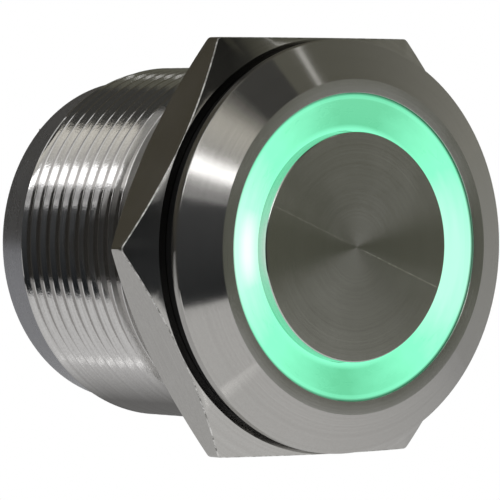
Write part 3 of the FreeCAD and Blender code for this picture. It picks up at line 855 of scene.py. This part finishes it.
def make_nut():
    """Thin hex nut: corners chamfered at both faces, chamfered bore."""
    front, back = GASKET_THICK, NUT_BACK
    mesh = bmesh.new()
    rings = []
    for angle in nut_angles():
        reach = nut_reach(angle)
        fall = max(0.0, (reach - NUT_CROWN_R) * NUT_CROWN_SLOPE)
        outline = closed(
            [(GASKET_IN_R + NUT_CHAMFER, front), (NUT_CROWN_R, front), (reach, front + fall),
             (reach, back - fall), (NUT_CROWN_R, back), (GASKET_IN_R + NUT_CHAMFER, back),
             (GASKET_IN_R, back - NUT_CHAMFER), (GASKET_IN_R, front + NUT_CHAMFER)],
            [r * MM for r in (0.03, 0.04, 0.11, 0.08, 0.04, 0.03, 0.03, 0.03)], NUT_ROUND_STEPS)
        rings.append([mesh.verts.new((r * math.cos(angle), y, r * math.sin(angle))) for r, y in outline])
    for a, b in zip(rings, rings[1:] + rings[:1]):
        for k in range(len(a)):
            n = (k + 1) % len(a)
            face = mesh.faces.new([a[k], a[n], b[n], b[k]])
            face.material_index = int(k in NUT_EDGE_STEPS)
    piece = to_object(mesh, "nut_milled", NUT_METAL)
    for material in (NUT_EDGE_GLINT, NUT_FRONT, NUT_REAR):
        piece.data.materials.append(material)
    for face in piece.data.polygons:
        if not face.material_index and abs(face.normal.y) > 0.5:
            face.material_index = 2 if face.normal.y < 0 else 3
    return fit_piece(piece, "nut", "hex_nut")


def make_spring():
    """Return spring, built at its rest length; on the switch it shortens as the button goes in."""
    data = grown_mesh(coil_tree(), "coil", {
        "Coil Radius": SPRING_R, "Wire Radius": SPRING_WIRE, "Front": SPRING_FRONT, "Back": SPRING_BACK,
        "Turns": SPRING_TURNS, "Points": SPRING_POINTS, "Material": SPRING_STEEL,
    })
    piece = bpy.data.objects.new("return_coil", data)
    bpy.context.scene.collection.objects.link(piece)
    smooth_by_area(piece)
    fit_piece(piece, "housing", "return_spring")
    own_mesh(piece)


def soften(node, name, material, body, width):
    """Copy of a CAD node with its flat facets joined and its edges broken, in the node's place."""
    mesh = bmesh.new()
    mesh.from_mesh(nodes[node].data)
    bmesh.ops.remove_doubles(mesh, verts=mesh.verts, dist=TINY)
    bmesh.ops.dissolve_limit(mesh, angle_limit=FLAT_WITHIN, verts=mesh.verts, edges=mesh.edges)
    sharp = [e for e in mesh.edges if len(e.link_faces) == 2 and e.calc_face_angle() > SHARP_FROM]
    bmesh.ops.bevel(
        mesh, geom=sharp, offset=width, segments=2, profile=0.5, affect="EDGES", clamp_overlap=True)
    return fit_piece(to_object(mesh, name, material), body, node)


def dress(material, *names):
    """Give CAD nodes that stay as they are a material."""
    for name in names:
        slots = nodes[name].data.materials
        slots.clear()
        slots.append(material)


make_housing()
make_cap()
make_lens()
make_gasket()
make_nut()
make_spring()
for node, name in (
        ("common_terminal", "terminal_common"), ("closed_terminal", "terminal_closed"),
        ("open_terminal", "terminal_open"), ("lamp_pin_plus", "pin_plus"), ("lamp_pin_minus", "pin_minus")):
    soften(node, name, TINNED, "housing", STAMPED_EDGE)
soften("contact_bridge", "bridge_stamped", BRASS, "button", STAMPED_EDGE)
soften("moving_contacts", "contacts_moving", SILVER, "button", SMALL_EDGE)
soften("fixed_contacts", "contacts_fixed", SILVER, "housing", SMALL_EDGE)
soften("lamp_resistor", "resistor_chip", CHIP, "housing", SMALL_EDGE)
soften("leds", "lamp_chips", LAMP, "housing", STAMPED_EDGE)
dress(SEAL, "lens_seal", "stem_seal")
dress(WHITE, "actuator_stem", "contact_carrier")
dress(BLACK, "guide_body", "switch_base")
dress(SPRING_STEEL, "stem_clip", "contact_spring", "retaining_ring")
dress(BOARD, "lamp_board")
dress(RESIN, "potting")


# Studio

FLOOR_Z = -0.045
FLOOR_R = 1.5
FLOOR_FADE = (0.08, 0.20)
FLOOR_COLOUR = (0.82, 0.82, 0.82)
ROOM_COLOUR = (0.95, 0.97, 1.0, 1)
ROOM_LIGHT = 0.45
CAMERA_AZIMUTH = math.radians(37.9)
CAMERA_FALL = math.radians(1.405)
CAMERA_DISTANCE = 0.3155
SENSOR_WIDTH = 36.0
PIXELS_PER_METRE = 16567.0
IMAGE_SIZE = 500.0
ORIGIN_AT = (335.5, 246.5)

# What the metal mirrors of the floor: painted shade from left to right and from front to rear, and a painted
# bright strip
FLOOR_TONES_X = (0.015, 0.12, 0.76, 0.50)
FLOOR_TONES_Y = (0.0, 0.05, 1.0, 0.76)
STRIP_AT = (-0.0112, -0.0405)
STRIP_HALF_X = (0.0002, 0.0008)
STRIP_HALF_Y = (0.0055, 0.0075)
STRIP_LIGHT = 1.3

# Panels: name, azimuths from +X towards +Y, elevations, distance in metres, brightness at foot and top
PANELS = [
    ("panel_back_top", (48, 135), (-2, 80), 0.40, (0.078, 0.071, 0.053), (0.078, 0.071, 0.053)),
    ("panel_left_low", (135, 228), (-19, 14.2), 0.13, (0.050, 0.048, 0.044), (0.050, 0.048, 0.044)),
    ("panel_left_high", (142, 228), (29, 80), 0.13, (1.5, 1.5, 1.5), (0.40, 0.40, 0.38)),
    ("panel_left_side", (135, 195), (14, 29.2), 0.13, (0.050, 0.048, 0.044), (0.050, 0.048, 0.044)),
    ("panel_front_dark", (-132, -84), (-18.3, 14.2), 0.14, (0.012, 0.014, 0.016), (0.070, 0.073, 0.076)),
    ("panel_front_ramp", (-165, -84), (14.2, 20.5), 0.50, (0.26, 0.26, 0.265), (0.78, 0.78, 0.78)),
    ("panel_lamp", (-155, -97), (20.5, 25.3), 0.50, (3.2, 3.2, 3.25), (3.2, 3.2, 3.25)),
    ("panel_front_grey", (-165, -84), (25.3, 39.0), 0.50, (0.52, 0.52, 0.51), (0.95, 0.92, 0.83)),
    ("panel_front_top", (-132, -67), (38.5, 80), 0.40, (0.062, 0.062, 0.058), (0.062, 0.062, 0.056)),
    ("panel_front_side", (-84, -67), (12, 38.5), 0.40, (0.12, 0.118, 0.105), (0.10, 0.10, 0.09)),
    ("panel_slit", (-54.4, -51.8), (34, 62), 0.38, (0.9, 0.9, 0.88), (0.9, 0.9, 0.88)),
    ("panel_right_high", (-67, 48), (4, 48), 0.40, (0.390, 0.388, 0.350), (0.140, 0.139, 0.110)),
    ("panel_right_top", (-67, 48), (48, 80), 0.40, (0.140, 0.139, 0.110), (0.140, 0.139, 0.110)),
    ("panel_right_low", (-28, 48), (-19, 12), 0.13, (0.45, 0.45, 0.445), (0.335, 0.335, 0.300)),
    ("panel_face", (-84, -28), (-12, 12), 0.36, (0.130, 0.135, 0.106), (0.130, 0.135, 0.106)),
    ("panel_ceiling", (-180, 180), (80, 89.9), 0.40, (0.12, 0.12, 0.11), (0.12, 0.12, 0.11)),
]
PANEL_ROWS = 8
PANEL_COLUMNS = 24

# Lamps: name, azimuth, elevation, then distance, width and height in metres, and watts
LAMPS = [
    ("lamp_key", -107, 22.5, 0.45, 0.20, 0.10, 0.3),
    ("lamp_over", 20, 75, 0.5, 0.4, 0.4, 1.4),
]
LAMP_AIM = (0, 0.005, 0)


def flat_shader(name, colour):
    """Matt studio material."""
    material, tree, shader = new_material(name)
    shader.inputs["Base Color"].default_value = (*colour, 1)
    shader.inputs["Roughness"].default_value = 0.9
    shader.inputs["Specular IOR Level"].default_value = 0.1
    return material, tree, shader


def background_rays(tree):
    """1 for rays that show the backdrop: camera, glossy and transmission."""
    path = tree.nodes.new("ShaderNodeLightPath").outputs
    indirect = calc(tree, "MAXIMUM", path["Is Glossy Ray"], path["Is Transmission Ray"])
    return calc(tree, "MAXIMUM", path["Is Camera Ray"], indirect)


def mirrored_tone(tree, x, y):
    """Brightness of the floor as the metal mirrors it, by place: painted shade and a painted light strip."""
    tone = calc(tree, "MULTIPLY", remap(tree, x, *FLOOR_TONES_X), remap(tree, y, *FLOOR_TONES_Y))
    across, along = (calc(tree, "ABSOLUTE", calc(tree, "SUBTRACT", v, at)) for v, at in zip((x, y), STRIP_AT))
    strip = calc(tree, "MULTIPLY", remap(tree, across, *STRIP_HALF_X, 1.0, 0.0),
                 remap(tree, along, *STRIP_HALF_Y, 1.0, 0.0))
    return calc(tree, "ADD", tone, calc(tree, "MULTIPLY", strip, STRIP_LIGHT))


def make_floor():
    """Pale floor: keeps the object's shadow near it, runs out to white, and in the metal's reflections shows
    painted shade and a painted light strip.
    """
    material, tree, shader = flat_shader("Pale floor", FLOOR_COLOUR)
    point, x, y = place(tree)[:3]
    length = tree.nodes.new("ShaderNodeVectorMath")
    length.operation = "LENGTH"
    tree.links.new(point, length.inputs[0])
    far = remap(tree, length.outputs["Value"], *FLOOR_FADE, 0.0, 1.0)
    glossy = tree.nodes.new("ShaderNodeLightPath").outputs["Is Glossy Ray"]
    glow = tree.nodes.new("ShaderNodeEmission")
    direct = calc(tree, "SUBTRACT", 1.0, glossy)
    mirrored = calc(tree, "MULTIPLY", glossy, mirrored_tone(tree, x, y))
    connect(tree, calc(tree, "ADD", direct, mirrored), glow.inputs["Strength"])
    shown = calc(tree, "MAXIMUM", glossy, calc(tree, "MULTIPLY", far, background_rays(tree)))
    mix = tree.nodes.new("ShaderNodeMixShader")
    connect(tree, shown, mix.inputs[0])
    tree.links.new(shader.outputs[0], mix.inputs[1])
    tree.links.new(glow.outputs[0], mix.inputs[2])
    output = next(n for n in tree.nodes if n.type == "OUTPUT_MATERIAL")
    tree.links.new(mix.outputs[0], output.inputs["Surface"])
    mesh = bmesh.new()
    bmesh.ops.create_circle(mesh, cap_ends=True, segments=96, radius=FLOOR_R)
    data = bpy.data.meshes.new("floor")
    mesh.to_mesh(data)
    mesh.free()
    data.transform(Matrix.Translation((0, 0, FLOOR_Z)))
    data.materials.append(material)
    floor = bpy.data.objects.new("floor", data)
    bpy.context.scene.collection.objects.link(floor)


def aimed(position, target):
    """Matrix of a thing at a position that faces a target along its -Z."""
    turn = (Vector(target) - Vector(position)).to_track_quat("-Z", "Y")
    return Matrix.Translation(position) @ turn.to_matrix().to_4x4()


def toward(azimuth, elevation, distance):
    """Point seen from the object at an azimuth from +X towards +Y and an elevation, in degrees."""
    a, e = math.radians(azimuth), math.radians(elevation)
    level = distance * math.cos(e)
    return (level * math.cos(a), level * math.sin(a), distance * math.sin(e))


def make_panel(name, azimuths, elevations, distance, foot, top):
    """Curved studio panel round the object, seen only in the metal's reflections."""
    material, tree, shader = new_material(name)
    shader.inputs["Base Color"].default_value = (0, 0, 0, 1)
    shader.inputs["Specular IOR Level"].default_value = 0.0
    low, high = (distance * math.sin(math.radians(e)) for e in elevations)
    rise = remap(tree, place(tree)[3], low, high, 0.0, 1.0)
    connect(tree, blend_colour(tree, rise, (*foot, 1), (*top, 1)), shader.inputs["Emission Color"])
    shader.inputs["Emission Strength"].default_value = 1.0
    mesh = bmesh.new()
    rows = []
    for i in range(PANEL_ROWS + 1):
        elevation = elevations[0] + (elevations[1] - elevations[0]) * i / PANEL_ROWS
        row = []
        for k in range(PANEL_COLUMNS + 1):
            azimuth = azimuths[0] + (azimuths[1] - azimuths[0]) * k / PANEL_COLUMNS
            row.append(mesh.verts.new(toward(azimuth, elevation, distance)))
        rows.append(row)
    for low, high in zip(rows, rows[1:]):
        for k in range(PANEL_COLUMNS):
            mesh.faces.new([low[k], low[k + 1], high[k + 1], high[k]])
    data = bpy.data.meshes.new(name)
    mesh.to_mesh(data)
    mesh.free()
    data.materials.append(material)
    panel = bpy.data.objects.new(name, data)
    for rays in ("camera", "diffuse", "transmission", "volume_scatter", "shadow"):
        setattr(panel, "visible_" + rays, False)
    bpy.context.scene.collection.objects.link(panel)


def make_lamp(name, azimuth, elevation, distance, width, height, watts):
    """Soft rectangular lamp aimed at the object, without its image in the metal."""
    data = bpy.data.lights.new(name, "AREA")
    data.shape = "RECTANGLE"
    data.size = width
    data.size_y = height
    data.energy = watts
    lamp = bpy.data.objects.new(name, data)
    lamp.visible_glossy = False
    lamp.matrix_world = aimed(toward(azimuth, elevation, distance), LAMP_AIM)
    bpy.context.scene.collection.objects.link(lamp)


def make_world():
    """Even room light, and plain white where the backdrop shows."""
    world = bpy.data.worlds.new("Studio")
    world.use_nodes = True
    tree = world.node_tree
    room = next(n for n in tree.nodes if n.type == "BACKGROUND")
    room.inputs["Color"].default_value = ROOM_COLOUR
    room.inputs["Strength"].default_value = ROOM_LIGHT
    white = tree.nodes.new("ShaderNodeBackground")
    white.inputs["Color"].default_value = (1, 1, 1, 1)
    white.inputs["Strength"].default_value = 1.0
    mix = tree.nodes.new("ShaderNodeMixShader")
    connect(tree, background_rays(tree), mix.inputs[0])
    tree.links.new(room.outputs[0], mix.inputs[1])
    tree.links.new(white.outputs[0], mix.inputs[2])
    output = next(n for n in tree.nodes if n.type == "OUTPUT_WORLD")
    tree.links.new(mix.outputs[0], output.inputs["Surface"])
    bpy.context.scene.world = world


def make_camera():
    """Camera at the photograph's viewing angle, fitted to the bezel, thread and nut."""
    sin_a, cos_a = math.sin(CAMERA_AZIMUTH), math.cos(CAMERA_AZIMUTH)
    sin_f, cos_f = math.sin(CAMERA_FALL), math.cos(CAMERA_FALL)
    forward = Vector((sin_a * cos_f, cos_a * cos_f, -sin_f))
    right = Vector((cos_a, -sin_a, 0))
    up = right.cross(forward)
    across = (ORIGIN_AT[0] - IMAGE_SIZE / 2) / PIXELS_PER_METRE
    rise = (IMAGE_SIZE / 2 - ORIGIN_AT[1]) / PIXELS_PER_METRE
    data = bpy.data.cameras.new("camera")
    data.sensor_width = SENSOR_WIDTH
    data.lens = SENSOR_WIDTH * PIXELS_PER_METRE * CAMERA_DISTANCE / IMAGE_SIZE
    data.clip_start = 0.01
    data.clip_end = 20.0
    camera = bpy.data.objects.new("camera", data)
    place_at = -(across * right + rise * up + CAMERA_DISTANCE * forward)
    axes = Matrix((right, up, -forward)).transposed().to_4x4()
    camera.matrix_world = Matrix.Translation(place_at) @ axes
    bpy.context.scene.collection.objects.link(camera)
    bpy.context.scene.camera = camera


make_camera()
make_world()
make_floor()
for panel in PANELS:
    make_panel(*panel)
for lamp in LAMPS:
    make_lamp(*lamp)
bpy.context.scene.view_settings.view_transform = "Standard"
